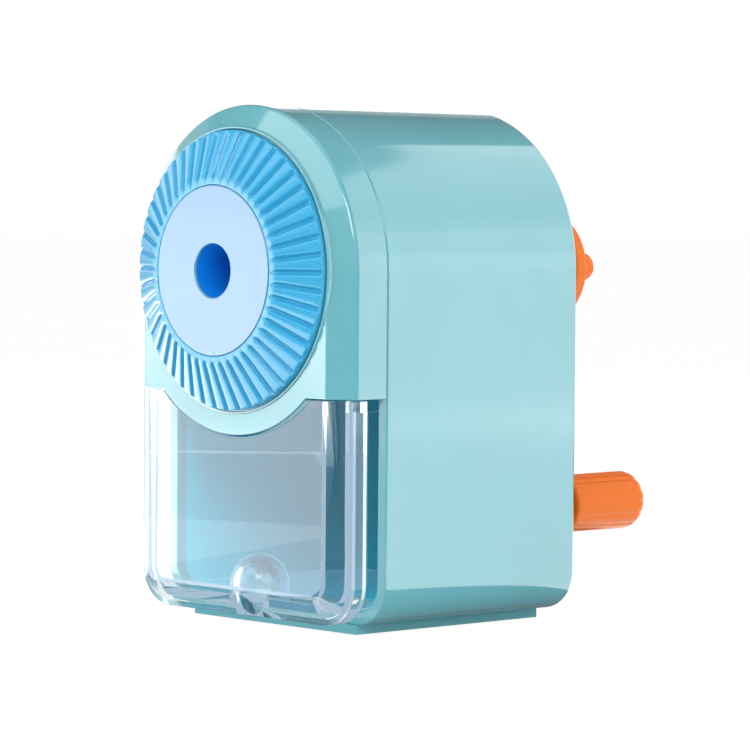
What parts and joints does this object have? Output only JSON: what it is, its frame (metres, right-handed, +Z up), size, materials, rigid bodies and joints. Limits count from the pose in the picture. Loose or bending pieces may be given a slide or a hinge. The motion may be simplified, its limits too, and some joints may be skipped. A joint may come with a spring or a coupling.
{
  "type": "pencil sharpener",
  "caption": "Desktop hand-crank pencil sharpener with an arched casing, ribbed chuck dial, clear shavings drawer and a rear crank with a knob",
  "frame": {"origin": "centre of the resting face under the anti-slip pad", "axes": "+Z up, +Y from the dial at the front to the crank at the back, +X across the body to the right of a person facing the dial"},
  "size_m": [0.068, 0.1237, 0.108],
  "materials": {
    "teal_plastic": "glossy moulded ABS, pale teal",
    "blue_plastic": "satin moulded ABS, sky blue",
    "pale_blue_plastic": "satin moulded ABS, pale blue",
    "orange_plastic": "satin moulded ABS, orange",
    "clear_plastic": "polished clear polystyrene",
    "white_plastic": "white acetal",
    "steel": "bright machined steel",
    "cast_metal": "dark die-cast metal",
    "bronze": "sintered bronze",
    "rubber": "matt rubber"
  },
  "bodies": {
    "housing": {"body_shell": "teal_plastic", "front_cover": "teal_plastic", "base_plate": "teal_plastic", "anti_slip_pad": "rubber", "base_screws": "steel", "cover_screws": "steel", "gear_case": "white_plastic", "ring_gear": "white_plastic", "chuck_plate": "white_plastic", "rear_cap": "teal_plastic", "rear_screws": "steel", "rear_bush": "bronze"},
    "dial": {"dial_ring": "blue_plastic", "dial_face": "pale_blue_plastic", "guide_tube": "blue_plastic", "dial_retainer": "white_plastic", "cam_plate": "blue_plastic"},
    "jaw_top": {"jaw_1": "cast_metal"},
    "jaw_left": {"jaw_2": "cast_metal"},
    "jaw_right": {"jaw_3": "cast_metal"},
    "crank": {"crank_arm": "orange_plastic", "crank_cap": "orange_plastic", "drive_shaft": "steel", "shaft_clip": "steel", "cutter_carrier": "cast_metal", "cutter_axle": "steel", "knob_pin": "steel"},
    "cutter": {"helical_cutter": "steel", "cutter_pinion": "cast_metal"},
    "knob": {"crank_knob": "orange_plastic"},
    "drawer": {"shavings_drawer": "clear_plastic"}
  },
  "joints": [
    {"name": "dial_turn", "type": "hinge", "parent": "housing", "child": "dial", "pos_m": [0, -0.04, 0.074], "axis": [0, 1, 0], "range_deg": [0, 60]},
    {"name": "jaw_top_slide", "type": "slide", "parent": "housing", "child": "jaw_top", "axis": [0, 0, -1], "range_m": [0, 0.0026]},
    {"name": "jaw_left_slide", "type": "slide", "parent": "housing", "child": "jaw_left", "axis": [0.866, 0, 0.5], "range_m": [0, 0.0026]},
    {"name": "jaw_right_slide", "type": "slide", "parent": "housing", "child": "jaw_right", "axis": [-0.866, 0, 0.5], "range_m": [0, 0.0026]},
    {"name": "crank_turn", "type": "hinge", "parent": "housing", "child": "crank", "pos_m": [0, 0.04, 0.074], "axis": [0, 1, 0], "continuous": true},
    {"name": "cutter_spin", "type": "hinge", "parent": "crank", "child": "cutter", "pos_m": [0, 0.01543, 0.08011], "axis": [0, 0.9816, -0.1908], "continuous": true},
    {"name": "knob_turn", "type": "hinge", "parent": "crank", "child": "knob", "pos_m": [0, 0.07, 0.0212], "axis": [0, 1, 0], "continuous": true},
    {"name": "drawer_slide", "type": "slide", "parent": "housing", "child": "drawer", "axis": [0, -1, 0], "range_m": [0, 0.062]}
  ],
  "couplings": [
    {"joint": "jaw_top_slide", "follows": "dial_turn", "m_per_rad": 0.0024828},
    {"joint": "jaw_left_slide", "follows": "dial_turn", "m_per_rad": 0.0024828},
    {"joint": "jaw_right_slide", "follows": "dial_turn", "m_per_rad": 0.0024828},
    {"joint": "cutter_spin", "follows": "crank_turn", "ratio": -3.1667}
  ]
}
